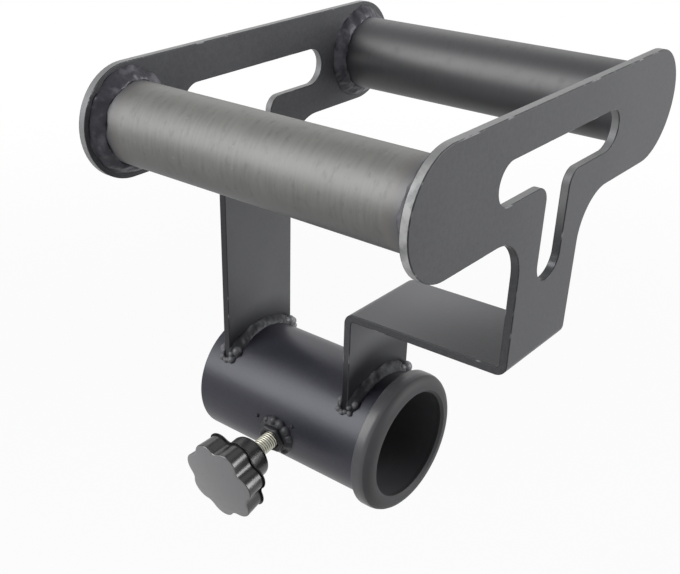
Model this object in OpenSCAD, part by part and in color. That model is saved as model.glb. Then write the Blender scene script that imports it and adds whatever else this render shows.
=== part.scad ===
// Two-handed row handle that slides onto the loading sleeve of a barbell whose other end pivots.
// Millimetres. The origin is on the barbell's axis at the steel tube's mid-length.
// +X points along the barbell to the flanged end, +Z is up, and the clamp screw faces -Y.

/* [Barbell sleeve] */
// Diameter of the barbell sleeve that the tube goes on
bar_d = 50; // [49:0.1:51]
// Play of the liner's bore over the sleeve, on the diameter
bore_play = 1; // [0.6:0.1:1.6]

/* [Tube and liner] */
// Length of the steel tube
tube_len = 96; // [92:1:130]
// Wall of the steel tube
tube_wall = 3; // [2.5:0.25:5]
// Wall of the plastic liner
liner_wall = 1.5; // [1:0.25:2.5]
// Diameter of the liner's flange
flange_d = 67; // [65:0.5:76]
// Thickness of the liner's flange
flange_t = 9; // [5:0.5:14]
// Rounding of the flange's outer edge
flange_round = 6.5; // [1:0.25:7]
// Chamfer at both mouths of the bore
mouth_chamfer = 1.2; // [0.3:0.1:1.4]

/* [Side plates] */
// Thickness of both plates
plate_t = 3.5; // [3:0.5:6]
// From the tube's left end to the middle of the left plate
left_inset = 11.75; // [9:0.25:16]
// From the tube's right end to the middle of the right plate's tab
tab_inset = 13; // [10:0.5:18]
// Width of the plates below the crossbar
stem_w = 45; // [38:1:52]
// Radius of the plates' round ends
lobe_r = 22.5; // [21.5:0.5:28]
// Radius between the stem and the crossbar
stem_fillet = 18; // [6:1:24]
// Height of the step's top face over the barbell's axis, at the tab
step_z = 69.1; // [58:0.1:74]
// Rise of the step away from the tab, in degrees
step_rise = 1.2; // [0:0.2:6]
// Inside radius of the two bends
bend_r = 1.5; // [0.5:0.25:4]

/* [Cut-out in the plates] */
// Length of the level slot, round ends included
slot_len = 88; // [70:1:96]
// Width of the level slot
slot_h = 16; // [10:0.5:20]
// Drop of the level slot's middle below the grips' axes
slot_drop = 0.7; // [0:0.1:3]
// Width of the upright slot
leg_w = 17; // [10:0.5:22]
// Depth of the upright slot below the level slot's middle
leg_depth = 47.8; // [30:0.2:56]
// Radius of the two corners where the slots meet
corner_r = 6.5; // [2:0.5:9]

/* [Grips] */
// Diameter of the grips
grip_d = 32; // [28:0.5:34]
// Wall of the grip tubes
grip_wall = 2; // [1.5:0.25:3]
// Length of the grips between the plates
grip_len = 141; // [120:1:180]
// Distance between the grips' axes
grip_pitch = 146; // [130:1:180]
// Height of the grips' axes over the barbell's axis
grip_z = 149; // [142:1:190]

/* [Welds] */
// Leg of the fillet welds at the grips' ends
grip_weld = 5; // [3:0.25:5]
// Leg of the fillet welds where the plates stand on the tube
saddle_weld = 4.5; // [3:0.25:6]
// How far the saddle welds run past the stem's corners, in degrees round the tube
saddle_past = 1.5; // [0:0.5:4]
// Width of the weld round the nut
nut_weld = 2.6; // [1:0.2:3]
// Depth of that weld's crown below the nut's face
nut_weld_low = 1.75; // [0.5:0.25:2]

/* [Clamp screw] */
// Diameter of the screw's thread
screw_d = 8; // [6:1:10]
// Running play of the screw in the nut, on the diameter
thread_play = 0.1; // [0.06:0.02:0.18]
// Place of the screw's axis along the bar, from the tube's middle
screw_x = 0.9; // [-6:0.1:8]
// Droop of the screw's outer end, in degrees
screw_droop = 8; // [0:1:20]
// Size of the weld nut across its flats
nut_af = 13; // [13:0.5:17]
// Height of the weld nut
nut_h = 6.8; // [5:0.2:9]
// Room between the nut and the liner
nut_room = 0.3; // [0.2:0.1:0.6]
// Play of the nut's corners in the tube's hole, on the diameter
nut_play = 0.4; // [0.2:0.1:0.8]
// Bare length of the screw between the nut and the knob
shank_len = 11.9; // [11.6:0.1:16]
// Height of the screw's head, moulded into the knob
head_h = 5.5; // [4:0.5:7]
// Size of the screw's head across its flats
head_af = 13; // [11:0.5:14]
// Depth of the head behind the lobes' front rim
head_depth = 13.5; // [11:0.1:16]

/* [Pressure pad] */
// Diameter of the pad
pad_d = 6.2; // [4.8:0.1:6.6]
// Thickness of the pad
pad_t = 2; // [1.5:0.1:2.6]
// Diameter of the pad's stem in the screw's tip
stem_d = 3; // [2:0.25:3.5]
// Length of the pad's stem
stem_len = 4; // [3:0.5:6]
// Play of the stem in the screw's tip, on the diameter
stem_play = 0.1; // [0.06:0.02:0.16]
// How far the pad lies behind the bore's wall when the screw is at rest
pad_back = 0.5; // [0.3:0.1:1]
// Room between the pad and the screw's tip
pad_room = 0.1; // [0.05:0.05:0.2]
// Play of the screw in the liner's hole, on the diameter
hole_play = 1; // [0.7:0.1:2]

/* [Star knob] */
// Diameter over the knob's lobes
knob_d = 39.5; // [38:0.5:50]
// Number of lobes
lobes = 7; // [6:1:8]
// Depth of the lobed body along the screw
lobe_depth = 10.7; // [9:0.1:16]
// Height of the domed front over the lobes' rim
dome_h = 1.5; // [0.8:0.1:3]
// Length of the knob's hub behind the lobes
hub_len = 12.3; // [10:0.1:20]
// Diameter of the hub
hub_d = 21; // [17:0.5:24]
// Radius of a lobe's tip
tip_r = 6.5; // [5:0.1:7]
// Radius of the flutes between the lobes
flute_r = 4; // [3:0.2:5]
// Depth of the flutes
flute_depth = 3; // [2:0.1:4]
// Rounding of the lobes' front and back rims
rim_round = 1; // [0.6:0.1:2]
// Turn of the lobes about the screw at rest, in degrees
knob_phase = 13; // [0:0.5:60]

/* [Hidden] */
$fn = 96;
// Overrun of a cutter past the face it leaves through
past = 1;
// How far the knob's round core stays under the place where tips and flutes meet
core_under = 0.2;

bore_r = (bar_d + bore_play) / 2;
liner_r = bore_r + liner_wall;
tube_r = liner_r + tube_wall;
flange_r = flange_d / 2;
// The flange's outer rounding, kept clear of the mouth's chamfer
lip_round = min(flange_round, flange_r - bore_r - 1.2 * mouth_chamfer,
    flange_t - mouth_chamfer);
// How far the rounding's quarter circle reaches into the flange
lip_past = 0.4;
tube_left = -tube_len / 2;
tube_right = tube_len / 2;

// Faces of the plates along the bar
left_out = tube_left + left_inset - plate_t / 2;
left_in = left_out + plate_t;
right_in = left_in + grip_len;
right_out = right_in + plate_t;
tab_out = tube_right - tab_inset - plate_t / 2;
tab_in = tab_out + plate_t;

// Outline of the plates, drawn with Y across and Z up
grip_y = grip_pitch / 2;
grip_r = grip_d / 2;
stem_half = stem_w / 2;
slot_z = grip_z - slot_drop;
slot_half_h = slot_h / 2;
slot_end = slot_len / 2 - slot_half_h;
leg_half = leg_w / 2;
leg_round_z = slot_z - leg_depth + leg_half;
crossbar_low = grip_z - lobe_r;
saddle_half = asin(stem_half / tube_r) + saddle_past;

// Centres of the two bends, drawn with X across and Z up
bend_out = bend_r + plate_t;
low_bend = [tab_in + bend_r, step_z - bend_out * cos(step_rise)];
across = right_in - bend_r - low_bend[0];
step_run = (across + (bend_r + bend_out) * sin(step_rise)) / cos(step_rise);
high_bend = [right_in - bend_r,
    low_bend[1] + (bend_r + bend_out) * cos(step_rise) + step_run * sin(step_rise)];

// Places along the screw's axis, from the barbell's axis outwards
pad_face = bore_r + pad_back;
pad_top = pad_face + pad_t;
screw_tip = pad_top + pad_room;
nut_low = liner_r + nut_room;
nut_face = nut_low + nut_h;
hub_back = nut_face + shank_len;
lobes_back = hub_back + hub_len;
lobes_front = lobes_back + lobe_depth;
head_top = lobes_front - head_depth;
head_low = head_top - head_h;
screw_r = screw_d / 2;
nut_bore_r = (screw_d + thread_play) / 2;
nut_corner_r = nut_af / 2 / cos(30);
nut_hole_r = nut_corner_r + nut_play / 2;
liner_hole_r = (screw_d + hole_play) / 2;
nut_weld_r = nut_hole_r + nut_weld;
knob_r = knob_d / 2;
tip_at = knob_r - tip_r;
flute_at = knob_r - flute_depth + flute_r;
to_flute = flute_at * [cos(180 / lobes), sin(180 / lobes)] - [tip_at, 0];
core_r = norm([tip_at, 0] + tip_r * to_flute / norm(to_flute)) - core_under;
dome_r = (knob_r * knob_r + dome_h * dome_h) / (2 * dome_h);

// Turns a shape drawn about Z so that it lies about the bar's axis
module along_bar() {
    rotate([0, 90, 0]) children();
}

// Turns a shape drawn along +Z so that it points out along the screw
module along_screw() {
    translate([screw_x, 0, 0])
        rotate([90 + screw_droop, 0, 0])
            children();
}

// Extrudes an outline drawn in Y and Z by the plate's thickness, from x towards +X
module plate_at(x) {
    translate([x, 0, 0])
        rotate([90, 0, 90])
            linear_extrude(height = plate_t) children();
}

module ring(outer, inner, from, to) {
    translate([0, 0, from]) difference() {
        cylinder(r = outer, h = to - from);
        translate([0, 0, -past]) cylinder(r = inner, h = to - from + 2 * past);
    }
}

// Sharp corner of a square less a circle: fills or rounds an inside corner
module corner(r) {
    difference() {
        square(r);
        translate([r, r]) circle(r = r);
    }
}

module both_sides() {
    children();
    mirror([1, 0]) children();
}

// Level and upright slots, with their meeting corners rounded
module cut_out() {
    square([2 * slot_end, slot_h], center = true);
    both_sides() translate([slot_end, 0]) circle(r = slot_half_h);
    translate([-leg_half, leg_round_z - slot_z]) square([leg_w, slot_z - leg_round_z]);
    translate([0, leg_round_z - slot_z]) circle(r = leg_half);
    both_sides() translate([leg_half, -slot_half_h]) mirror([0, 1]) corner(corner_r);
}

// Crossbar with round ends and the stem below it down to the given height
module plate_outline(low) {
    difference() {
        union() {
            translate([-grip_y - lobe_r, crossbar_low])
                square([grip_pitch + 2 * lobe_r, 2 * lobe_r]);
            translate([-stem_half, low]) square([stem_w, grip_z - low]);
            both_sides() translate([stem_half, crossbar_low]) mirror([0, 1]) corner(stem_fillet);
        }
        both_sides() {
            translate([grip_y + lobe_r, crossbar_low]) mirror([1, 0]) corner(lobe_r);
            translate([grip_y + lobe_r, grip_z + lobe_r]) rotate(180) corner(lobe_r);
        }
        translate([0, slot_z]) cut_out();
    }
}

module tube_space() {
    along_bar() translate([0, 0, tube_left - past])
        cylinder(r = tube_r, h = tube_len + 2 * past);
}

// What lies between a circle at a bend's centre and the corner of its two tangents
module bend_corner(at, r, one, two, tip) {
    difference() {
        polygon([at, at + (r + past) * one, tip + past * (one + two), at + (r + past) * two]);
        translate(at) circle(r = r);
    }
}

// The step between tab and plate, drawn with X across and Z up: sharp corners, then the bends
module step_profile() {
    up = [-sin(step_rise), cos(step_rise)];
    under = low_bend + bend_r * up;
    top = low_bend + bend_out * up;
    low_inside = [tab_in, under[1] + (tab_in - under[0]) * tan(step_rise)];
    low_outside = [tab_out, top[1] + (tab_out - top[0]) * tan(step_rise)];
    high_inside = [right_in, top[1] + (right_in - top[0]) * tan(step_rise)];
    high_outside = [right_out, under[1] + (right_out - under[0]) * tan(step_rise)];
    difference() {
        union() {
            polygon([[tab_out, 0], [tab_in, 0], low_inside, high_outside,
                [right_out, high_bend[1]], [right_in, high_bend[1]], high_inside, low_outside]);
            bend_corner(low_bend, bend_r, [-1, 0], up, low_inside);
            bend_corner(high_bend, bend_r, [1, 0], -up, high_inside);
        }
        bend_corner(low_bend, bend_out, [-1, 0], up, low_outside);
        bend_corner(high_bend, bend_out, [1, 0], -up, high_outside);
    }
}

// Steel tube with the hole that the nut sits in
module sleeve_tube() {
    color("dimgray") difference() {
        along_bar() ring(tube_r, liner_r, tube_left, tube_right);
        along_screw() cylinder(r = nut_hole_r, h = tube_r + past);
    }
}

// Half section of the liner: radius across, the bar's direction up
module liner_section() {
    face = tube_right + flange_t;
    difference() {
        union() {
            translate([bore_r, tube_left]) square([liner_wall, tube_len]);
            translate([bore_r, tube_right])
                square([flange_r - bore_r, flange_t - lip_round]);
            translate([bore_r, tube_right])
                square([flange_r - lip_round - bore_r, flange_t]);
            translate([flange_r - lip_round, face - lip_round]) intersection() {
                circle(r = lip_round);
                translate([-lip_past, -lip_past]) square(lip_round + 2 * lip_past);
            }
        }
        polygon([[bore_r - past, face + past], [bore_r - past, face - mouth_chamfer - past],
            [bore_r + mouth_chamfer + past, face + past]]);
        polygon([[bore_r - past, tube_left - past], [bore_r + mouth_chamfer + past, tube_left - past],
            [bore_r - past, tube_left + mouth_chamfer + past]]);
    }
}

// Plastic liner with the flange on the tube's right end
module flanged_liner() {
    color("black") difference() {
        along_bar() rotate_extrude() liner_section();
        along_screw() cylinder(r = liner_hole_r, h = tube_r);
    }
}

// Flat plate whose foot is coped to the tube
module side_plate_left() {
    color("slategray") difference() {
        plate_at(left_out) plate_outline(0);
        tube_space();
    }
}

// Same outline, stepped back to the tube through two bends
module side_plate_right() {
    color("slategray") difference() {
        union() {
            plate_at(right_in) plate_outline(high_bend[1]);
            rotate([90, 0, 0]) linear_extrude(height = stem_w, center = true) step_profile();
        }
        tube_space();
    }
}

module grip(side) {
    translate([0, side * grip_y, grip_z])
        along_bar() ring(grip_r, grip_r - grip_wall, left_in, right_in);
}

module front_grip() {
    color("silver") grip(-1);
}

module rear_grip() {
    color("silver") grip(1);
}

// Ring of weld round a grip, standing on the plate face at x towards dir
module grip_bead(side, x, dir) {
    translate([x, side * grip_y, grip_z]) rotate([0, dir * 90, 0])
        rotate_extrude()
            polygon([[grip_r, 0], [grip_r + grip_weld, 0], [grip_r, grip_weld]]);
}

module weld_front_grip_left() {
    color("gray") grip_bead(-1, left_in, 1);
}

module weld_front_grip_right() {
    color("gray") grip_bead(-1, right_in, -1);
}

module weld_rear_grip_left() {
    color("gray") grip_bead(1, left_in, 1);
}

module weld_rear_grip_right() {
    color("gray") grip_bead(1, right_in, -1);
}

// Weld over the top of the tube along a plate's foot, on the face at x towards dir
module saddle_bead(x, dir) {
    translate([x, 0, 0]) along_bar() rotate([0, 0, 180 - saddle_half])
        rotate_extrude(angle = 2 * saddle_half)
            polygon([[tube_r, 0], [tube_r + saddle_weld, 0], [tube_r, dir * saddle_weld]]);
}

module weld_left_arm_outer() {
    color("gray") saddle_bead(left_out, -1);
}

module weld_left_arm_inner() {
    color("gray") saddle_bead(left_in, 1);
}

module weld_right_tab_outer() {
    color("gray") saddle_bead(tab_out, -1);
}

module weld_right_tab_inner() {
    color("gray") saddle_bead(tab_in, 1);
}

// Hexagon of the nut, from one height to another along the screw
module nut_blank(from, to) {
    along_screw() translate([0, 0, from]) rotate([0, 0, 30])
        cylinder(r = nut_corner_r, h = to - from, $fn = 6);
}

module weld_nut() {
    color("gray") difference() {
        nut_blank(nut_low, nut_face);
        along_screw() cylinder(r = nut_bore_r, h = nut_face + past);
    }
}

// Weld that fills the tube's hole round the nut and rises against its flats
module weld_nut_bead() {
    crown = nut_face - nut_weld_low;
    color("gray") difference() {
        along_screw() rotate_extrude()
            polygon([[0, nut_low], [nut_weld_r, nut_low], [nut_weld_r, tube_r + nut_room],
                [nut_hole_r + nut_play, crown], [0, crown]]);
        sleeve_tube();
        nut_blank(nut_low - past, nut_face + past);
    }
}

// Solid that the screw fills, pressed or moulded into what holds it
module screw_blank() {
    along_screw() {
        translate([0, 0, screw_tip]) cylinder(r = screw_r, h = head_top - screw_tip);
        translate([0, 0, head_low])
            cylinder(r = head_af / 2 / cos(30), h = head_h, $fn = 6);
    }
}

module clamp_screw() {
    hole_depth = pad_room + stem_len;
    color("silver") difference() {
        screw_blank();
        along_screw() translate([0, 0, screw_tip - past])
            cylinder(d = stem_d + stem_play, h = hole_depth + past);
    }
}

// Pad that meets the barbell sleeve, with the stem that keeps it in the screw's tip
module clamp_pad() {
    color("goldenrod") along_screw() {
        translate([0, 0, pad_face]) cylinder(d = pad_d, h = pad_t);
        translate([0, 0, pad_top]) cylinder(d = stem_d, h = stem_len);
    }
}

// Outline of the lobes, seen along the screw
module star_outline() {
    difference() {
        union() {
            circle(r = core_r);
            for (k = [0 : lobes - 1])
                rotate(k * 360 / lobes) translate([tip_at, 0]) circle(r = tip_r);
        }
        for (k = [0 : lobes - 1])
            rotate((k + 0.5) * 360 / lobes) translate([flute_at, 0]) circle(r = flute_r);
    }
}

// Half section of the lobed body: rounded rims and a domed front
module knob_section() {
    side = lobe_depth - 2 * rim_round;
    round_at = knob_r - rim_round;
    intersection() {
        union() {
            translate([0, lobes_back]) square([round_at, lobe_depth + dome_h]);
            translate([0, lobes_back + rim_round]) square([knob_r, side]);
            translate([round_at, lobes_back + rim_round]) circle(r = rim_round);
            translate([round_at, lobes_front - rim_round]) circle(r = rim_round);
        }
        translate([0, lobes_front + dome_h - dome_r]) circle(r = dome_r, $fn = 720);
        translate([0, hub_back]) square([knob_r + past, hub_len + lobe_depth + dome_h + past]);
    }
}

// Half section of the hub, with a rounded back edge, run into the lobed body
module hub_section() {
    hub_r = hub_d / 2;
    translate([0, hub_back]) square([hub_r - rim_round, hub_len + past]);
    translate([0, hub_back + rim_round]) square([hub_r, hub_len - rim_round + past]);
    translate([hub_r - rim_round, hub_back + rim_round]) circle(r = rim_round);
}

module star_knob() {
    color("black") difference() {
        along_screw() union() {
            intersection() {
                rotate_extrude() knob_section();
                rotate([0, 0, knob_phase]) linear_extrude(height = lobes_front + dome_h + past)
                    star_outline();
            }
            rotate_extrude() hub_section();
        }
        screw_blank();
    }
}

sleeve_tube();
flanged_liner();
side_plate_left();
side_plate_right();
front_grip();
rear_grip();
weld_front_grip_left();
weld_front_grip_right();
weld_rear_grip_left();
weld_rear_grip_right();
weld_left_arm_outer();
weld_left_arm_inner();
weld_right_tab_outer();
weld_right_tab_inner();
weld_nut();
weld_nut_bead();
clamp_screw();
clamp_pad();
star_knob();
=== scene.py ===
import math
import random

import bmesh
import bpy
from mathutils import Matrix, Vector, noise


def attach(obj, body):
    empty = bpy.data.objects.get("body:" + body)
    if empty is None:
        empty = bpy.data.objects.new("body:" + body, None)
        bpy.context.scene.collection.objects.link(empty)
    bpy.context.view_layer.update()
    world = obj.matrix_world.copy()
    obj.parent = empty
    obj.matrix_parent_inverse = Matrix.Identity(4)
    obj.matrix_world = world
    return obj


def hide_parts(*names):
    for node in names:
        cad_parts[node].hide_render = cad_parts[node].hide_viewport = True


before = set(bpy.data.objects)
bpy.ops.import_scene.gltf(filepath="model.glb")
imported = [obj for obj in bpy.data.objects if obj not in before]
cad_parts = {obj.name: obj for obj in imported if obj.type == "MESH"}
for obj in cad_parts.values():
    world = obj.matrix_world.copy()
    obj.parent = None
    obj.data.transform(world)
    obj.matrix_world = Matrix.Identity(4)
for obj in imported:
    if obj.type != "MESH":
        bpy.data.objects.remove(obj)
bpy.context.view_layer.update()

# The two side plates are laser-cut steel sheet, the right one folded into a step, deburred and
# powder coated satin black. Painted light and shade go into the coat's colour: a painted highlight
# on the crossbars' cut edges, a painted pale lift on the lower parts, and painted shade about the
# welds' feet, down the left arm's edges and along the edge roundings. Real wear bares specks at
# the right plate's front end and rubs the roundings pale in spots.
MM = 0.001
plate_edge_round = 0.4 * MM
sharp_above = math.radians(35)
flat_within = math.radians(0.4)
edge_on = 0.005
orange_peel = 0.03 * MM
coat_tint = (0.93, 0.95, 1.0, 1)
coat_deep = (0.019, 0.019, 0.021, 1)
coat_pale = (0.045, 0.045, 0.048, 1)
# painted highlight: pale colour on the crossbars' top cut edges, standing for light caught there
coat_painted_highlight = (0.15, 0.15, 0.15, 1)
coat_bared = (0.32, 0.32, 0.315, 1)
# painted light: the pale lift on the lower parts
coat_painted_light = (0.125, 0.125, 0.129, 1)
# painted shade: near black, used about the tube, on the arm's edges, under the grips and low on
# the beads
coat_painted_shade = (0.004, 0.004, 0.005, 1)
# painted shade: dark lines along the edge roundings
coat_painted_rim_shade = (0.010, 0.010, 0.011, 1)
coat_rubbed = (0.16, 0.16, 0.165, 1)
# Where each change of the coat sets in and is complete, along X, Y or Z or out from the tube
crossbar_z = (112 * MM, 130 * MM)
front_end_x, front_end_y = (100 * MM, 104 * MM), (-94 * MM, -78 * MM)
painted_light_ends_x, painted_light_ends_z = (45 * MM, 100 * MM), (90 * MM, 125 * MM)
past_arm_x, past_arm_z = (-33 * MM, -30 * MM), (100 * MM, 120 * MM)
arm_to_tab_x, middle_to_tab_x, past_tab_x = (-30 * MM, 30 * MM), (0, 30 * MM), (40 * MM, 45 * MM)
beyond_shade_r, more_shade_at_tab, ragged_shade = (32 * MM, 46 * MM), 9 * MM, 6 * MM


class Field:
    """A number, vector or colour that varies over a finish, written as arithmetic."""

    def __init__(self, socket):
        self.socket = socket
        self.tree = socket.id_data

    def node(self, kind, settings=None, inputs=None, out=0):
        """A new node's output, its settings made first and then its inputs."""
        made = self.tree.nodes.new("ShaderNode" + kind)
        for name, value in (settings or {}).items():
            setattr(made, name, value)
        for name, value in (inputs or {}).items():
            if isinstance(value, Field):
                self.tree.links.new(value.socket, made.inputs[name])
            else:
                made.inputs[name].default_value = value
        return Field(made.outputs[out])

    def calc(self, operation, *terms):
        """A Math node on numbers, or a Vector Math node where a term is a vector."""
        wide = any(t.socket.type != "VALUE" if isinstance(t, Field) else isinstance(t, tuple)
                   for t in terms)
        if wide:
            terms = [t if isinstance(t, (Field, tuple)) else (t, t, t) for t in terms]
        return self.node("VectorMath" if wide else "Math", {"operation": operation},
                         dict(enumerate(terms)))

    def __add__(self, other):
        return self.calc("ADD", self, other)

    def __radd__(self, other):
        return self.calc("ADD", other, self)

    def __sub__(self, other):
        return self.calc("SUBTRACT", self, other)

    def __rsub__(self, other):
        return self.calc("SUBTRACT", other, self)

    def __mul__(self, other):
        return self.calc("MULTIPLY", self, other)

    def __rmul__(self, other):
        return self.calc("MULTIPLY", other, self)

    def axis(self, letter):
        """A place's distance along X, Y or Z."""
        return self.node("SeparateXYZ", None, {"Vector": self}, letter)

    def length(self):
        """A place's distance from the origin."""
        return self.node("VectorMath", {"operation": "LENGTH"}, {0: self}, "Value")

    def dot(self, direction):
        """A place's distance along a direction."""
        return self.node("VectorMath", {"operation": "DOT_PRODUCT"}, {0: self, 1: direction},
                         "Value")

    def mark(self, name):
        """What the mesh says of itself here under that name, or 0 if it says nothing."""
        return self.node("Attribute", {"attribute_name": name}, None, "Fac")

    def least(self, other):
        """The smaller of the two."""
        return self.calc("MINIMUM", self, other)

    def most(self, other):
        """The larger of the two."""
        return self.calc("MAXIMUM", self, other)

    def ramp(self, low, high):
        """0 below low, 1 above high, eased between."""
        return self.node("MapRange", {"interpolation_type": "SMOOTHSTEP"},
                         {"Value": self, "From Min": low, "From Max": high})

    def mix(self, low, high):
        """The colour low where this is 0, and high where it is 1 or more."""
        return self.node("Mix", {"data_type": "RGBA"}, {0: self, 6: low, 7: high}, 2)

    def grain(self, size, detail=2.0, stretch=(1, 1, 1)):
        """Cloudy noise from 0 to 1 whose spots are about size metres across."""
        return self.node("TexNoise", None, {"Vector": self * stretch, "Scale": 0.6 / size,
                                            "Detail": detail, "Roughness": 0.55})


def finish(name, constants):
    """A new finish: its material, its shader, and the place on the piece as a Field."""
    material = bpy.data.materials.new(name)
    material.use_nodes = True
    shader = material.node_tree.nodes["Principled BSDF"]
    for socket, value in constants.items():
        shader.inputs[socket].default_value = value
    place = material.node_tree.nodes.new("ShaderNodeTexCoord").outputs["Object"]
    return material, shader, Field(place)


def feed(shader, colour, rough, height, depth):
    """Colour, roughness and a relief of so many metres go to the shader."""
    bump = height.node("Bump", None, {"Height": height, "Distance": depth, "Strength": 1.0})
    for socket, field in (("Base Color", colour), ("Roughness", rough), ("Normal", bump)):
        field.tree.links.new(field.socket, shader.inputs[socket])


def powder_coat(name, deep, pale, rough, gloss, wear_and_shade=None):
    """Oven-cured powder with fine orange peel and faint clouds, which wear and painted light and
    shade then change.
    """
    material, shader, place = finish(name, {"IOR": 1.5, "Specular IOR Level": gloss,
                                            "Specular Tint": coat_tint})
    clouds = place.grain(0.03, 3.0)
    mottle = place.grain(0.0012, 2.0)
    speck = place.grain(0.0004, 1.0)
    colour = (0.4 * clouds + 0.3 * mottle + 0.3 * speck).ramp(0.25, 0.75).mix(deep, pale)
    rough = rough + 0.10 * (clouds - 0.5) + 0.06 * (speck - 0.5)
    if wear_and_shade:
        colour, rough = wear_and_shade(place, clouds, mottle, colour, rough)
    feed(shader, colour, rough, 0.7 * mottle + 0.3 * speck, orange_peel)
    return material


def low_down(place, clouds, colour, painted_light=1):
    """The coat's colour with a painted pale lift on the lower parts and painted shade about the
    tube.
    """
    along, height = place.axis("X"), place.axis("Z")
    # painted light: lower parts lifted paler, fading out to the right and upwards
    painted_light = painted_light * (1 - along.ramp(*painted_light_ends_x)) * (1 - height.ramp(*painted_light_ends_z))
    painted_light = painted_light * (0.52 + 0.48 * along.ramp(*arm_to_tab_x)) * (0.8 + 0.4 * (clouds - 0.5))
    at_tab = along.ramp(*middle_to_tab_x) * (1 - along.ramp(*past_tab_x))
    # painted shade: the coat darkens close to the tube, reaching further up the tab
    from_tube = (place * (0, 1, 1)).length()
    beyond_shade = (from_tube - more_shade_at_tab * at_tab
                 + ragged_shade * (clouds - 0.5)).ramp(*beyond_shade_r)
    return beyond_shade.mix(coat_painted_shade, painted_light.mix(colour, coat_painted_light))


def plate_wear_and_shade(place, clouds, mottle, colour, rough):
    """Cut edges smooth with a painted highlight on crossbars, painted shade on the arm; rims
    painted shade, rubbed.
    """
    rim, cut = place.mark("rim"), place.mark("cut")
    along, across, height = place.axis("X"), place.axis("Y"), place.axis("Z")
    colour = low_down(place, clouds, colour, 1 - cut)
    # painted shade down the left arm's cut edges
    painted_shade = cut * (1 - along.ramp(*past_arm_x)) * (1 - height.ramp(*past_arm_z))
    colour = painted_shade.mix(colour, coat_painted_shade)
    # painted highlight on the crossbars' cut edges; bared adds specks of real wear at the front
    # end
    painted_highlight = cut * height.ramp(*crossbar_z) * (0.55 + 0.7 * place.grain(0.006, 3.0))
    bared = along.ramp(*front_end_x) * (1 - across.ramp(*front_end_y))
    bared = bared * place.grain(0.004, 4.0).ramp(0.36, 0.60)
    colour = painted_highlight.mix(colour, bared.mix(coat_painted_highlight, coat_bared))
    # painted shade darkens the roundings; the rubbed spots on them are real wear
    rubbed = rim * place.grain(0.005, 3.0).ramp(0.56, 0.68)
    colour = rubbed.mix(rim.mix(colour, coat_painted_rim_shade), coat_rubbed)
    return colour, rough - 0.06 * rubbed - 0.12 * cut + 0.18 * painted_highlight


def piece(name, mesh, material, body, slot, *nodes):
    """A finished piece: smooth shaded, riding on its body, standing for its CAD nodes."""
    mesh.materials.append(material)
    mesh.shade_smooth()
    made = bpy.data.objects.new(name, mesh)
    bpy.context.scene.collection.objects.link(made)
    faces = made.modifiers.new("face_weighted_shading", "WEIGHTED_NORMAL")
    faces.mode, faces.weight, faces.keep_sharp = "FACE_AREA", 60, False
    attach(made, body)
    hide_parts(*nodes)


def meshed(name, shape):
    """The bmesh shape as a mesh of that name."""
    mesh = bpy.data.meshes.new(name)
    shape.to_mesh(mesh)
    shape.free()
    return mesh


def deburred(node):
    """The CAD node's own shape, deburred: rim marks the roundings, cut the sheet's own edges."""
    shape = bmesh.new()
    shape.from_mesh(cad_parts[node].data)
    bmesh.ops.remove_doubles(shape, verts=shape.verts, dist=1e-6)
    bmesh.ops.dissolve_limit(shape, angle_limit=flat_within, verts=shape.verts, edges=shape.edges)
    rim = shape.faces.layers.float.new("rim")
    cut = shape.faces.layers.float.new("cut")
    sharp = [e for e in shape.edges if e.is_manifold and e.calc_face_angle() > sharp_above]
    rounded = set(bmesh.ops.bevel(shape, geom=sharp, offset=plate_edge_round, segments=3,
                                  profile=0.5, affect="EDGES", clamp_overlap=False)["faces"])
    for face in shape.faces:
        face[rim] = float(face in rounded)
        face[cut] = float(face not in rounded and abs(face.normal.x) < edge_on)
    return meshed(node, shape)


plate_coat = powder_coat("plate_powder_coat", coat_deep, coat_pale, 0.44, 0.38, plate_wear_and_shade)
for side in ("left", "right"):
    node = "side_plate_" + side
    piece("dressed_" + node, deburred(node), plate_coat, "handle", "coated_steel", node)

# The sleeve tube is thick-walled steel pipe, cut square, its end edges broken with a file, and
# coated with the frame. The clamp nut goes through its wall at the front.
tube_r, tube_bore_r, tube_half = 30 * MM, 27 * MM, 48 * MM
tube_edge_round, bore_edge_round = 0.5 * MM, 0.3 * MM
tube_along = Vector((1, 0, 0))
droop = math.radians(8)
screw_centre = Vector((0.9 * MM, 0, 0))
screw_out = Vector((0, -math.cos(droop), -math.sin(droop)))
screw_side = Vector((1, 0, 0))
screw_up = screw_out.cross(screw_side)
nut_hole_r = 7.7 * MM
drill_from, drill_to = 20 * MM, 40 * MM
arc_degrees = 15
tube_deep = (0.015, 0.015, 0.021, 1)
tube_pale = (0.023, 0.023, 0.031, 1)


def eased(corners):
    """An outline whose corners (along, out, round) become small arcs; round 0 stays sharp."""
    outline = []
    for i, (x, r, size) in enumerate(corners):
        here = Vector((x, r))
        if not size:
            outline.append(here)
            continue
        before = (Vector(corners[i - 1][:2]) - here).normalized()
        after = (Vector(corners[(i + 1) % len(corners)][:2]) - here).normalized()
        half = before.angle(after) / 2
        middle = here + (before + after).normalized() * (size / math.sin(half))
        start = here + before * (size / math.tan(half)) - middle
        turn = start.angle_signed(here + after * (size / math.tan(half)) - middle)
        steps = max(3, round(abs(math.degrees(turn)) / arc_degrees))
        for k in range(steps + 1):
            a = -turn * k / steps
            c, s = math.cos(a), math.sin(a)
            outline.append(middle + Vector((c * start.x - s * start.y, s * start.x + c * start.y)))
    return outline


def angles(count):
    """So many angles, evenly spaced round a full turn."""
    return [math.tau * k / count for k in range(count)]


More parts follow.
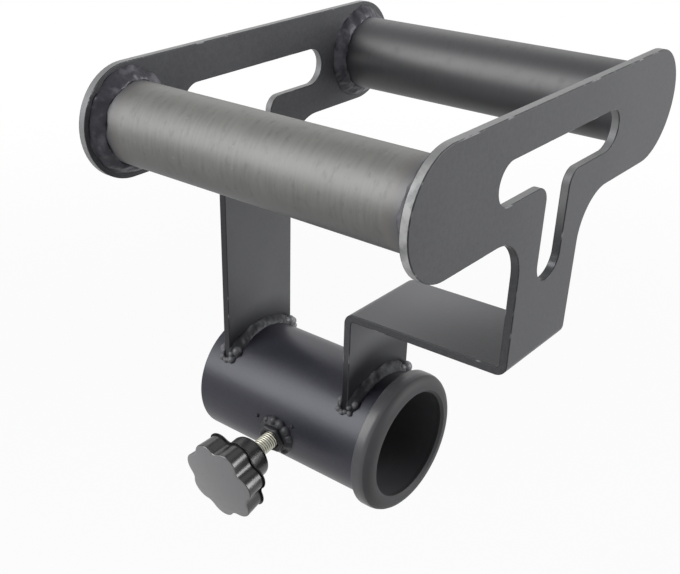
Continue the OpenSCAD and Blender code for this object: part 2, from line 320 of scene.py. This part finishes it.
def skinned(name, rings, looped=False):
    """A mesh through closed rings of points, its ends joined where looped and capped if not."""
    shape = bmesh.new()
    rows = [[shape.verts.new(p) for p in ring] for ring in rings]
    count = len(rows[0])
    for a, b in zip(rows, rows[1:] + rows[:1] if looped else rows[1:]):
        for i in range(count):
            j = (i + 1) % count
            shape.faces.new((a[i], a[j], b[j], b[i]))
    if not looped:
        shape.faces.new(rows[0])
        shape.faces.new(rows[-1])
    bmesh.ops.recalc_face_normals(shape, faces=shape.faces)
    return meshed(name, shape)


def turned(name, outline, centre, along, looped, steps):
    """A lathe-turned mesh: outline points are (distance along the axis, radius)."""
    one = along.orthogonal().normalized()
    two = along.cross(one)
    rings = []
    for p in outline:
        rings.append([centre + along * p.x + p.y * (math.cos(a) * one + math.sin(a) * two)
                      for a in angles(steps)])
    return skinned(name, rings, looped)


def blank(mesh):
    """The mesh as a bare object that modifiers can work on."""
    made = bpy.data.objects.new("blank", mesh)
    bpy.context.scene.collection.objects.link(made)
    return made


def worked(body, *tools):
    """The mesh that a blank's modifiers make of it; blank and tools are then cleared away."""
    bpy.context.view_layer.update()
    result = bpy.data.meshes.new_from_object(
        body.evaluated_get(bpy.context.evaluated_depsgraph_get()))
    result.name = body.data.name
    for made in (body, *tools):
        bpy.data.objects.remove(made)
    return result


def drilled(mesh, radius):
    """The mesh with a round hole along the clamp screw's axis."""
    wall = [Vector((drill_from, radius)), Vector((drill_to, radius))]
    tool = turned("drill", wall, screw_centre, screw_out, looped=False, steps=64)
    body, drill = blank(mesh), blank(tool)
    cut = body.modifiers.new("drilling", "BOOLEAN")
    cut.operation, cut.object, cut.solver = "DIFFERENCE", drill, "EXACT"
    return worked(body, drill)


tube_outline = eased([(-tube_half, tube_bore_r, bore_edge_round),
                      (tube_half, tube_bore_r, bore_edge_round),
                      (tube_half, tube_r, tube_edge_round),
                      (-tube_half, tube_r, tube_edge_round)])
tube_mesh = turned("sleeve_tube", tube_outline, Vector(), tube_along, looped=True, steps=144)
tube_coat = powder_coat("tube_powder_coat", tube_deep, tube_pale, 0.37, 0.30)
piece("dressed_sleeve_tube", drilled(tube_mesh, nut_hole_r), tube_coat, "handle", "tube_coat",
      "sleeve_tube")

# The liner is a moulded black nylon sleeve pushed into the tube, with a thick rounded flange at
# its right end. It is satin, and duller and scuffed on the flange's face, which rubs in use, and
# that face's colour is darkened as painted shade.
liner_bore_r, liner_r, flange_r = 25.5 * MM, 27 * MM, 33.5 * MM
flange_end, flange_round = 57 * MM, 5.2 * MM
mouth, liner_edge_round = 1.2 * MM, 0.3 * MM
screw_hole_r = 4.5 * MM
face_x, face_ragged = (53.6 * MM, 54.3 * MM), 0.8 * MM
nylon_relief = 0.02 * MM
nylon_deep = (0.046, 0.046, 0.049, 1)
nylon_pale = (0.072, 0.072, 0.076, 1)
# painted shade: the flange face's colour
nylon_face_painted_shade = (0.030, 0.030, 0.032, 1)
liner_outline = eased([(-tube_half + mouth, liner_bore_r, liner_edge_round),
                       (flange_end - mouth, liner_bore_r, liner_edge_round),
                       (flange_end, liner_bore_r + mouth, liner_edge_round),
                       (flange_end, flange_r, flange_round),
                       (tube_half, flange_r, liner_edge_round),
                       (tube_half, liner_r, 0), (-tube_half, liner_r, 0),
                       (-tube_half, liner_bore_r + mouth, 0)])
liner_mesh = turned("flanged_liner", liner_outline, Vector(), tube_along, looped=True, steps=192)
nylon, shader, place = finish("moulded_nylon", {"IOR": 1.53, "Specular IOR Level": 0.26})
clouds, spark = place.grain(0.012, 3.0), place.grain(0.0004, 1.0)
scuffs = place.grain(0.003, 4.0, (1, 0.25, 1)).ramp(0.58, 0.74)
# the flange's face: rougher, and darker as painted shade
dull_shaded_face = (place.axis("X") + face_ragged * (clouds - 0.5)).ramp(*face_x)
satin_band = (0.5 * clouds + 0.4 * scuffs).mix(nylon_deep, nylon_pale)
feed(shader, (dull_shaded_face * (1 - 0.35 * scuffs)).mix(satin_band, nylon_face_painted_shade),
     0.34 + 0.26 * dull_shaded_face + 0.08 * scuffs + 0.08 * (clouds - 0.5),
     0.6 * spark + 0.4 * clouds, nylon_relief)
piece("dressed_flanged_liner", drilled(liner_mesh, screw_hole_r), nylon, "handle",
      "liner_plastic", "flanged_liner")

# The two grips are steel tube, ground on a belt so that faint marks run round them, and coated
# thinly. Their undersides are darkened as painted shade, the rear grip's finish is a darker copy
# of the front one's as painted shade, and the welding heat has tinted the ends of both.
grip_r, grip_wall = 16 * MM, 2 * MM
grip_from, grip_to = -34.5 * MM, 106.5 * MM
grip_y, grip_z = 73 * MM, 149 * MM
grip_ring_gap = 6 * MM
# lit and shaded copies of one finish: the front grip's tones, and below them the rear grip's
# darker ones as painted shade
grip_lit_tones = ((0.034, 0.034, 0.031, 1), (0.092, 0.092, 0.084, 1))
grip_shaded_tones = ((0.010, 0.010, 0.012, 1), (0.020, 0.020, 0.023, 1))
straw_lit, straw_shaded = (0.072, 0.066, 0.050, 1), (0.022, 0.020, 0.018, 1)
heat_violet = (0.020, 0.019, 0.028, 1)
heat_reach, heat_ragged = (3.9 * MM, 13 * MM), 8 * MM
# painted shade: how much of the grip's tones stays on the underside, and where the shade sets in
upper_z, upper_ragged, lit_below = (grip_z - 14 * MM, grip_z + 2 * MM), 4 * MM, 0.2
belt_relief = 0.02 * MM


def belt_ground(name, tones, straw, gloss, rough):
    """Ground steel under a thin coat: lines round the tube, clouds, nicks, blots, heat tint and
    painted shade underneath.
    """
    satin, shader, place = finish(name, {"IOR": 1.5, "Specular IOR Level": gloss})
    along, height = place.axis("X"), place.axis("Z")
    lines = place.grain(0.0009, 3.0, (1, 0.12, 0.12))
    clouds = place.grain(0.035, 3.0)
    streaks = place.grain(0.012, 3.0, (0.35, 1, 1))
    nicks = place.grain(0.0011, 2.0).ramp(0.70, 0.76)
    blots = place.grain(0.0014, 4.0, (1, 0.5, 0.5)).ramp(0.52, 0.74)
    tone = 0.34 * lines + 0.36 * clouds + 0.32 * streaks + 0.15 * nicks - 0.11 * blots
    # painted shade darkens the grips' undersides towards near black
    upper = (height + upper_ragged * (clouds - 0.5)).ramp(*upper_z)
    top_lit = lit_below + (1 - lit_below) * upper
    steel = top_lit.mix(coat_painted_shade, tone.ramp(0.22, 0.68).mix(*tones))
    from_end = (along - grip_from).least(grip_to - along)
    heat = 1 - (from_end + heat_ragged * (clouds - 0.5)).ramp(*heat_reach)
    tinted = (0.7 * heat.ramp(0, 0.5)).mix(steel, straw)
    feed(shader, (0.8 * heat).mix(tinted, heat_violet),
         rough + 0.08 * (lines - 0.5) + 0.10 * (clouds - 0.5) + 0.04 * blots,
         0.8 * lines + 0.2 * nicks, belt_relief)
    return satin


def stations(start, end, step):
    """Evenly spaced distances from start to end, both included, no further apart than step."""
    count = math.ceil(abs(end - start) / step)
    return [start + (end - start) * k / count for k in range(count + 1)]


for where, y, satin in (
        ("front", -grip_y, belt_ground("lit_ground_steel", grip_lit_tones, straw_lit, 0.85, 0.52)),
        ("rear", grip_y, belt_ground("shaded_ground_steel", grip_shaded_tones, straw_shaded, 0.6, 0.48))):
    inside = [Vector((x, grip_r - grip_wall)) for x in (grip_from, grip_to)]
    outside = [Vector((x, grip_r)) for x in stations(grip_to, grip_from, grip_ring_gap)]
    grip = turned(where + "_grip", inside + outside, Vector((0, y, grip_z)), tube_along,
                  looped=True, steps=128)
    piece("dressed_%s_grip" % where, grip, satin, "handle", "grip_steel", where + "_grip")

# The weld beads are laid by hand with wire: rings where the grips meet the plates, and saddles
# where the plates stand on the tube, which end in blobs wrapped round the plates' corners. The
# coat is patchy on them, darkened low down as painted shade, and given a painted glint on the
# blobs.
ring_leg, saddle_leg = 4.7 * MM, 4.2 * MM
saddle_half = math.radians(47.5)
bead_buried, bead_facets = 0.5 * MM, 12
bead_share, bead_hollow = 0.96, 1.7
taper_legs, taper_least = 1.1, 0.02
ripple_rise, ripple_chevron, ripple_wander = 0.7, 0.7, 0.4
wander_per_m, lump_per_m, lumpy = 150, 240, 0.22
voxel, settling, settlings = 0.24 * MM, 0.5, 10
painted_glint_to, painted_glint_fade = 1.25, 0.3
foot_z = (50 * MM, 80 * MM)
bead_deep = (0.014, 0.013, 0.018, 1)
bead_pale = (0.034, 0.032, 0.041, 1)
bead_patch = (0.082, 0.080, 0.092, 1)
# painted glint: the pale colour on the weld blobs, standing for light caught on them
bead_painted_glint = (0.20, 0.20, 0.21, 1)
# Each saddle's plate face in mm along the tube, and the side of it that the bead lies on
saddles = {"weld_left_arm_outer": (-38, -1), "weld_left_arm_inner": (-34.5, 1),
           "weld_right_tab_outer": (36.75, 1), "weld_right_tab_inner": (33.25, -1)}
# Blobs: degrees round the tube, mm off the plate, mm off the tube, radius in mm, and painted glint
front_blobs = ((-49.2, -1.2, 0.3, 1.5, 0.45), (-47.5, 1.2, 0.3, 1.8, 0.45),
               (-44.0, 0.6, 2.2, 1.4, 0.45), (-40.0, 2.1, 1.3, 2.1, 0.45))
rear_blobs = ((49.2, -1.2, 0.3, 1.9, 1), (47.0, 1.4, 1.0, 2.4, 1), (43.0, 1.5, 2.7, 2.4, 1),
              (37.5, 2.3, 2.3, 2.7, 1), (31.0, 2.4, 1.4, 1.9, 0.7))
tab_front_size, tab_rear_shift = 0.8, 3


def bead_wear_shade_and_glint(place, clouds, mottle, colour, rough):
    """Pale patches, fewer low down, painted shade low down between the blobs, and a painted glint
    on them.
    """
    lump, along = place.mark("lump"), place.axis("X")
    raised = place.axis("Z").ramp(*foot_z)
    # pale patches thin out low down, where painted shade darkens the beads between the blobs
    patches = place.grain(0.006, 3.0).ramp(0.50, 0.63) * (0.22 + 0.68 * raised)
    painted_shade = (1 - raised) * (1 - lump) * (0.55 + 0.45 * along.ramp(*middle_to_tab_x))
    colour = patches.mix(low_down(place, clouds, colour), bead_patch)
    colour = (0.75 * painted_shade).mix(colour, coat_painted_shade)
    # painted glint on the blobs
    colour = (lump * (0.6 + 0.4 * mottle)).mix(colour, bead_painted_glint)
    return colour, rough + 0.25 * painted_shade


def bead(name, corners, leg, seed, closed, pitch=2.3 * MM, height=0.12 * MM, swell=0.22):
    """A lumpy fillet along corner points, each with the directions of its two surfaces."""
    rings, travelled = [], 0.0
    total = sum((corners[i + 1][0] - corners[i][0]).length for i in range(len(corners) - 1))
    for i, (root, up, off) in enumerate(corners):
        if i:
            travelled += (root - corners[i - 1][0]).length
        wander = [noise.noise(root * wander_per_m + Vector((seed, k, 0))) for k in range(3)]
        taper = 1.0
        if not closed:
            left = min(travelled, total - travelled) / (taper_legs * leg)
            taper = math.sqrt(max(taper_least, 1 - (1 - min(1, left)) ** 2))
        up_leg = leg * taper * (bead_share + swell * wander[0])
        off_leg = leg * taper * (bead_share + swell * wander[1])
        ring = [root + up * up_leg - off * bead_buried]
        for k in range(bead_facets + 1):
            a = math.pi / 2 * k / bead_facets
            bulge = math.sin(2 * a) ** ripple_rise if 0 < k < bead_facets else 0
            wave = abs(math.sin(math.pi * (travelled / pitch
                                           + ripple_chevron * math.cos(2 * a) ** 2
                                           + ripple_wander * wander[2])))
            across = (math.cos(a) ** bead_hollow * up * up_leg
                      + math.sin(a) ** bead_hollow * off * off_leg)
            lump = noise.noise((root + across) * lump_per_m + Vector((0, seed, 5)))
            lift = taper * bulge * (height * wave + lumpy * leg * lump)
            ring.append(root + across + (math.cos(a) * up + math.sin(a) * off) * lift)
        ring.append(root + off * off_leg - up * bead_buried)
        ring.append(root - (up + off) * bead_buried)
        rings.append(ring)
    return skinned(name, rings, closed)


def drop(shape, centre, radius):
    """Adds a round drop of metal to the bmesh shape."""
    bmesh.ops.create_icosphere(shape, subdivisions=3, radius=radius,
                               matrix=Matrix.Translation(centre))


def clipped(value):
    """The value, but no less than 0 and no more than 1."""
    return max(0.0, min(1.0, value))


def fused(mesh, blobs):
    """The mesh run together with blobs (centre, radius, painted glint), whose painted glint
    becomes lump.
    """
    shape = bmesh.new()
    shape.from_mesh(mesh)
    for centre, radius, painted_glint in blobs:
        drop(shape, centre, radius)
    shape.to_mesh(mesh)
    shape.free()
    body = blank(mesh)
    melt = body.modifiers.new("melt", "REMESH")
    melt.mode, melt.voxel_size = "VOXEL", voxel
    settle = body.modifiers.new("settle", "SMOOTH")
    settle.factor, settle.iterations = settling, settlings
    result = worked(body)
    lump = result.attributes.new("lump", "FLOAT", "POINT")
    for vertex in result.vertices:
        lump.data[vertex.index].value = max(
            painted_glint * clipped((painted_glint_to - (vertex.co - centre).length / radius) / painted_glint_fade)
            for centre, radius, painted_glint in blobs)
    return result


def from_top(angle):
    """The direction out of the tube, turned from its top towards the rear."""
    return Vector((0, math.sin(angle), math.cos(angle)))


bead_coat = powder_coat("bead_powder_coat", bead_deep, bead_pale, 0.38, 0.34, bead_wear_shade_and_glint)
for where, y in (("front", -grip_y), ("rear", grip_y)):
    for side, x, off in (("left", grip_from, 1), ("right", grip_to, -1)):
        corners = []
        for a in angles(300):
            up = Vector((0, math.cos(a), math.sin(a)))
            corners.append((Vector((x, y, grip_z)) + up * grip_r, up, Vector((off, 0, 0))))
        node = "weld_%s_grip_%s" % (where, side)
        ring = bead(node, corners, ring_leg, seed=len(node) + y, closed=True)
        piece("dressed_" + node, ring, bead_coat, "handle", "weld_coat", node)
rand = random.Random(4)
for number, (node, (x, off)) in enumerate(saddles.items()):
    tab = "tab" in node
    corners, blobs = [], []
    for k in range(-80, 81):
        up = from_top(saddle_half * k / 80)
        corners.append((Vector((x * MM, 0, 0)) + up * tube_r, up, Vector((off, 0, 0))))
    for degrees, out, high, radius, painted_glint in front_blobs + rear_blobs:
        size = tab_front_size if tab and degrees < 0 else 1
        shift = tab_rear_shift if tab and degrees > 0 else 0
        up = from_top(math.radians(degrees + rand.uniform(-1, 1) - shift))
        spot = Vector(((x + off * (out + rand.uniform(-0.3, 0.3))) * MM, 0, 0))
        blobs.append((spot + up * (tube_r + high * MM),
                      radius * MM * size * rand.uniform(0.85, 1.1), painted_glint))
    run = bead(node, corners, saddle_leg, seed=7.3 * number, closed=False,
               pitch=2.6 * MM, height=0.15 * MM)
    piece("dressed_" + node, fused(run, blobs), bead_coat, "handle", "weld_coat", node)

# The weld nut is a plain steel hexagon nut with chamfered corners, set in the tube's wall and
# held by a thick, uneven ring of weld, which has left two drops of spatter beside it. All are
# coated with the frame.
thread_r, thread_play = 4 * MM, 0.1 * MM
nut_from, nut_to, nut_flat = 27.3 * MM, 34.1 * MM, 6.5 * MM
nut_corner_r = nut_flat / math.cos(math.pi / 6)
nut_seam_r, nut_seam_sunk, nut_leg = nut_flat + 0.2 * MM, 0.6 * MM, 3.1 * MM
# nut_blob_painted_glint is a faint painted glint on the nut bead's blobs
nut_blob_s, nut_blob_r, nut_blob_painted_glint = 29.6 * MM, 8.6 * MM, 0.15
# Degrees round the screw and mm of radius
nut_blobs = ((14, 2.2), (40, 2.5), (66, 2.4), (92, 2.1), (122, 1.9), (205, 1.8), (300, 2.1))
# Place and radius in mm
spatter = (((-10.25, -29.92, 2.25), 0.95), ((10.85, -29.57, 5.05), 0.9))


def from_screw(angle):
    """The direction out from the screw's axis at an angle."""
    return math.cos(angle) * screw_side + math.sin(angle) * screw_up


def on_screw(s, radius, angle):
    """A point at distance s along the screw's axis, out from it by radius at an angle."""
    return screw_centre + screw_out * s + from_screw(angle) * radius


def hexagon(angle):
    """Radius of the nut's hexagon, which has a corner to the side."""
    return nut_flat / math.cos((angle % (math.pi / 3)) - math.pi / 6)


nut_rings = []
for s, widest in ((nut_from, thread_r + thread_play), (nut_from, nut_corner_r),
                  (nut_to - 1.2 * MM, nut_corner_r), (nut_to - 0.6 * MM, 7.1 * MM),
                  (nut_to, 6.1 * MM), (nut_to, 5.4 * MM), (nut_to - 0.5 * MM, 4.7 * MM),
                  (nut_to - 1.1 * MM, thread_r + thread_play)):
    nut_rings.append([on_screw(s, min(hexagon(a), widest), a) for a in angles(96)])
piece("dressed_weld_nut", skinned("weld_nut", nut_rings, True), bead_coat, "handle", "weld_coat",
      "weld_nut")
corners = []
for a in angles(200):
    surface = math.sqrt(tube_r ** 2 - (nut_seam_r * math.sin(a)) ** 2)
    corners.append((on_screw(surface - nut_seam_sunk, nut_seam_r, a), screw_out, from_screw(a)))
blobs = [(on_screw(nut_blob_s, nut_blob_r, math.radians(degrees)), radius * MM, nut_blob_painted_glint)
         for degrees, radius in nut_blobs]
run = bead("weld_nut_bead", corners, nut_leg, seed=31, closed=True,
           pitch=6.1 * MM, height=0.2 * MM, swell=0.26)
piece("dressed_weld_nut_bead", fused(run, blobs), bead_coat, "handle", "weld_coat",
      "weld_nut_bead")
for number, (spot, radius) in enumerate(spatter, 1):
    shape = bmesh.new()
    drop(shape, Vector(spot) * MM, radius * MM)
    piece("weld_spatter_%d" % number, meshed("spatter", shape), bead_coat, "handle", "weld_coat")

# The clamp screw is an M8 bolt of zinc-plated steel, its head moulded into the knob, its tip
# drilled for the stem of the brass pad.
pitch, thread_depth = 1.25 * MM, 0.22 * MM
thread_crest, thread_flank, rings_per_turn, screw_sides = 0.07, 0.3, 14, 48
screw_from, screw_to, lead_in = 28.1 * MM, 50 * MM, 1.2 * MM
stem_hole_r, stem_hole_end = 1.6 * MM, 32.3 * MM
zinc_relief = 0.01 * MM
zinc_deep = (0.40, 0.39, 0.33, 1)
zinc_pale = (0.56, 0.55, 0.47, 1)
zinc, shader, place = finish("bright_zinc", {"Metallic": 1.0})
clouds, scratch = place.grain(0.002, 3.0), place.grain(0.0005, 2.0, (1, 0.2, 1))
feed(shader, (0.6 * clouds + 0.4 * scratch).mix(zinc_deep, zinc_pale),
     0.42 + 0.2 * (clouds - 0.5) + 0.1 * scratch, scratch, zinc_relief)
rings = [[on_screw(s, stem_hole_r, a) for a in angles(screw_sides)]
         for s in (stem_hole_end, screw_from)]
for s in stations(screw_from, screw_to, pitch / rings_per_turn):
    ring = []
    for a in angles(screw_sides):
        phase = (s / pitch - a / math.tau) % 1
        down = clipped((min(phase, 1 - phase) - thread_crest) / thread_flank)
        ease = min(1.0, (s - screw_from) / lead_in)
        ring.append(on_screw(s, thread_r - thread_depth * (1 - ease * (1 - down)), a))
    rings.append(ring)
piece("dressed_clamp_screw", skinned("clamp_screw", rings), zinc, "knob", "zinc", "clamp_screw")

# The clamp pad is a small turned brass button whose stem sits loose in the screw's tip, so that
# it presses without turning while the screw turns.
pad_face, pad_top, stem_end = 26 * MM, 28 * MM, 32 * MM
pad_r, stem_r, near_axis = 3.1 * MM, 1.5 * MM, 0.02 * MM
brass_relief = 0.01 * MM
brass_deep = (0.45, 0.31, 0.12, 1)
brass_pale = (0.72, 0.53, 0.25, 1)
brass, shader, place = finish("turned_brass", {"Metallic": 1.0})
clouds, turning = place.grain(0.0015, 3.0), place.grain(0.0003, 2.0, (0.3, 1, 0.3))
feed(shader, (0.5 * clouds + 0.5 * turning).mix(brass_deep, brass_pale),
     0.3 + 0.2 * (clouds - 0.5), turning, brass_relief)
pad_outline = eased([(pad_face, near_axis, 0), (pad_face, pad_r, 0.4 * MM),
                     (pad_top, pad_r, 0.2 * MM), (pad_top, stem_r, 0.1 * MM),
                     (stem_end, stem_r, 0.3 * MM), (stem_end, near_axis, 0)])
pad = turned("clamp_pad", pad_outline, screw_centre, screw_out, looped=False, steps=48)
piece("dressed_clamp_pad", pad, brass, "pad", "pad_brass", "clamp_pad")

# The star knob is moulded glossy black phenolic with seven rounded lobes, a low domed face and a
# round hub behind it that carries the screw. The face is coloured grey as a painted sheen.
lobes, lobe_centre, lobe_round = 7, 13.25 * MM, 6.5 * MM
flute_centre, flute_round = 20.75 * MM, 4 * MM
knob_turned = math.radians(13)
body_from, body_to, dome_h = 58.3 * MM, 69 * MM, 1.5 * MM
rim_round, front_round = 1.0 * MM, 0.45 * MM
hub_from, hub_r = 46 * MM, 10.5 * MM
arc_steps, rim_steps, face_rings = 12, 5, 20
face_s = (body_to - 0.1 * MM, body_to + 0.1 * MM)
phenolic_relief = 0.04 * MM
phenolic_deep = (0.006, 0.006, 0.007, 1)
phenolic_pale = (0.014, 0.014, 0.015, 1)
# painted sheen: the face's grey stands for the room reflected in the glossy black
phenolic_painted_sheen = (0.105, 0.101, 0.105, 1)


def star(inset):
    """The star's outline as points (radius, angle), moved in by inset."""
    half = math.pi / lobes
    tip, hollow = lobe_round - inset, flute_round + inset
    flute_x, flute_y = flute_centre * math.cos(half), flute_centre * math.sin(half)
    lean = math.atan2(flute_y, flute_x - lobe_centre)
    points = []
    for k in range(lobes):
        turn = knob_turned + 2 * half * k
        for i in range(-arc_steps, arc_steps + 1):
            a = lean * i / arc_steps
            points.append((lobe_centre + tip * math.cos(a), tip * math.sin(a), turn))
        for i in range(1, arc_steps):
            a = lean + math.pi - (2 * lean - 2 * half) * i / arc_steps
            points.append((flute_x + hollow * math.cos(a), flute_y + hollow * math.sin(a), turn))
    return [(math.hypot(x, y), math.atan2(y, x) + turn) for x, y, turn in points]


def dome(radius):
    """Distance along the screw's axis of the knob's face at a radius."""
    return body_to + dome_h * (1 - (radius / (lobe_centre + lobe_round)) ** 2)


hub = ((hub_from, 0.25 * MM), (hub_from, 4.2 * MM), (hub_from, 8.4 * MM),
       (hub_from + 0.25 * MM, 9.4 * MM), (hub_from + 0.9 * MM, 10.1 * MM),
       (hub_from + 2 * MM, hub_r), (body_from - 1 * MM, hub_r),
       (body_from - 0.35 * MM, 10.75 * MM), (body_from, 11.4 * MM))
rings = [[on_screw(s, radius, a) for r, a in star(0)] for s, radius in hub]
rings.append([on_screw(body_from, r, a) for r, a in star(1.6 * rim_round)])
quarter = [math.pi / 2 * k / rim_steps for k in range(rim_steps + 1)]
for b in quarter:
    rings.append([on_screw(body_from + rim_round * (1 - math.sin(b)), r, a)
                  for r, a in star(rim_round * (1 - math.cos(b)))])
for b in quarter:
    rings.append([on_screw(dome(r) - front_round * (1 - math.sin(b)), r, a)
                  for r, a in star(front_round * (1 - math.cos(b)))])
for k in range(1, face_rings):
    share = 1 - k / face_rings
    rings.append([on_screw(dome(r * share), r * share, a) for r, a in star(front_round)])
rings.append([on_screw(dome(0), near_axis, a) for r, a in star(front_round)])
phenolic, shader, place = finish("glossy_phenolic", {"IOR": 1.6, "Specular IOR Level": 0.5})
clouds, haze = place.grain(0.01, 3.0), place.grain(0.002, 4.0, (1, 0.4, 1)).ramp(0.5, 0.8)
# face: the knob's front, coloured grey as a painted sheen and a little rougher
face = place.dot(tuple(screw_out)).ramp(*face_s)
moulded = (0.5 * clouds + 0.5 * haze).mix(phenolic_deep, phenolic_pale)
feed(shader, face.mix(moulded, phenolic_painted_sheen),
     0.29 + 0.04 * face + 0.1 * haze + 0.05 * (clouds - 0.5), clouds, phenolic_relief)
piece("dressed_star_knob", skinned("star_knob", rings), phenolic, "knob", "knob_plastic",
      "star_knob")

# The stage is a pale floor well below the raised frame, in a white room with soft lamps.
# Rays from the lens and mirror-like rays see both as plain white, and shadows stay.
floor_z, floor_thick, floor_half = -0.26, 0.01, 6.0
paper_deep, paper_pale = (0.54, 0.54, 0.54, 1), (0.58, 0.58, 0.58, 1)
shadow_white, white_from, paper_relief = 0.9, (0.5, 1.5), 0.2 * MM
room_colour, room_strength = (0.95, 0.97, 1.0, 1), 0.3
lit_spot = Vector((0.03, 0, 0.07))
# Place, width and height in metres, and watts
lamps = {"key": ((-0.68, -1.07, 0.86), 0.6, 1.3, 28.0),
         "back": ((-0.82, 1.056, 0.93), 0.9, 0.9, 2.5),
         "side": ((1.25, 0.75, 0.55), 0.9, 0.9, 24.0)}


def white_for_lens(lit, target, share=1):
    """Joins a share of plain white for lens, glossy and clear rays with what lights the object."""
    path = lit.tree.nodes.new("ShaderNodeLightPath").outputs
    seen = Field(path["Is Camera Ray"]).most(Field(path["Is Glossy Ray"]))
    seen = share * seen.most(Field(path["Is Transmission Ray"]))
    white = seen.node("Emission", None, {"Strength": 1.0})
    joined = seen.node("MixShader", None, {0: seen, 1: lit, 2: white})
    lit.tree.links.new(joined.socket, target)


world = bpy.data.worlds.new("studio")
bpy.context.scene.world = world
world.use_nodes = True
room = world.node_tree.nodes["Background"]
room.inputs["Color"].default_value = room_colour
room.inputs["Strength"].default_value = room_strength
white_for_lens(Field(room.outputs[0]), world.node_tree.nodes["World Output"].inputs["Surface"])
floor_mesh = skinned("floor", [[Vector((x * floor_half, y * floor_half, z))
                                for x, y in ((-1, -1), (1, -1), (1, 1), (-1, 1))]
                               for z in (floor_z, floor_z - floor_thick)])
floor = bpy.data.objects.new("floor", floor_mesh)
bpy.context.scene.collection.objects.link(floor)
paper, shader, place = finish("pale_paper", {"Specular IOR Level": 0.2})
fibre, clouds = place.grain(0.002, 3.0), place.grain(0.4, 3.0)
feed(shader, (0.5 * fibre + 0.5 * clouds).mix(paper_deep, paper_pale),
     0.8 + 0.1 * (fibre - 0.5), fibre, paper_relief)
far = place.length().ramp(*white_from)
white_for_lens(Field(shader.outputs[0]),
               paper.node_tree.nodes["Material Output"].inputs["Surface"],
               shadow_white + (1 - shadow_white) * far)
floor_mesh.materials.append(paper)
for name, (spot, wide, tall, power) in lamps.items():
    lamp = bpy.data.lights.new(name, "AREA")
    lamp.shape, lamp.size, lamp.size_y, lamp.energy = "RECTANGLE", wide, tall, power
    hung = bpy.data.objects.new(name, lamp)
    bpy.context.scene.collection.objects.link(hung)
    hung.location = spot
    hung.rotation_euler = (Vector(spot) - lit_spot).to_track_quat("Z", "Y").to_euler()

# The lens stands where the photograph was taken from. Its place, turn, length and shift were
# found by fitting the frame's edges to the photograph.
lens = bpy.data.cameras.new("lens")
lens.lens, lens.sensor_width, lens.sensor_fit = 53.26455, 36, "HORIZONTAL"
lens.shift_x, lens.shift_y = 0.090379, 0.115831
lens.clip_start, lens.clip_end = 0.01, 50
camera = bpy.data.objects.new("camera", lens)
bpy.context.scene.collection.objects.link(camera)
camera.location = (0.25827888, -0.32265893, 0.26534151)
camera.rotation_euler = [math.radians(a) for a in (59.29143907, 0.12647236, 41.01054285)]
bpy.context.scene.camera = camera
bpy.context.scene.view_settings.view_transform = "Standard"
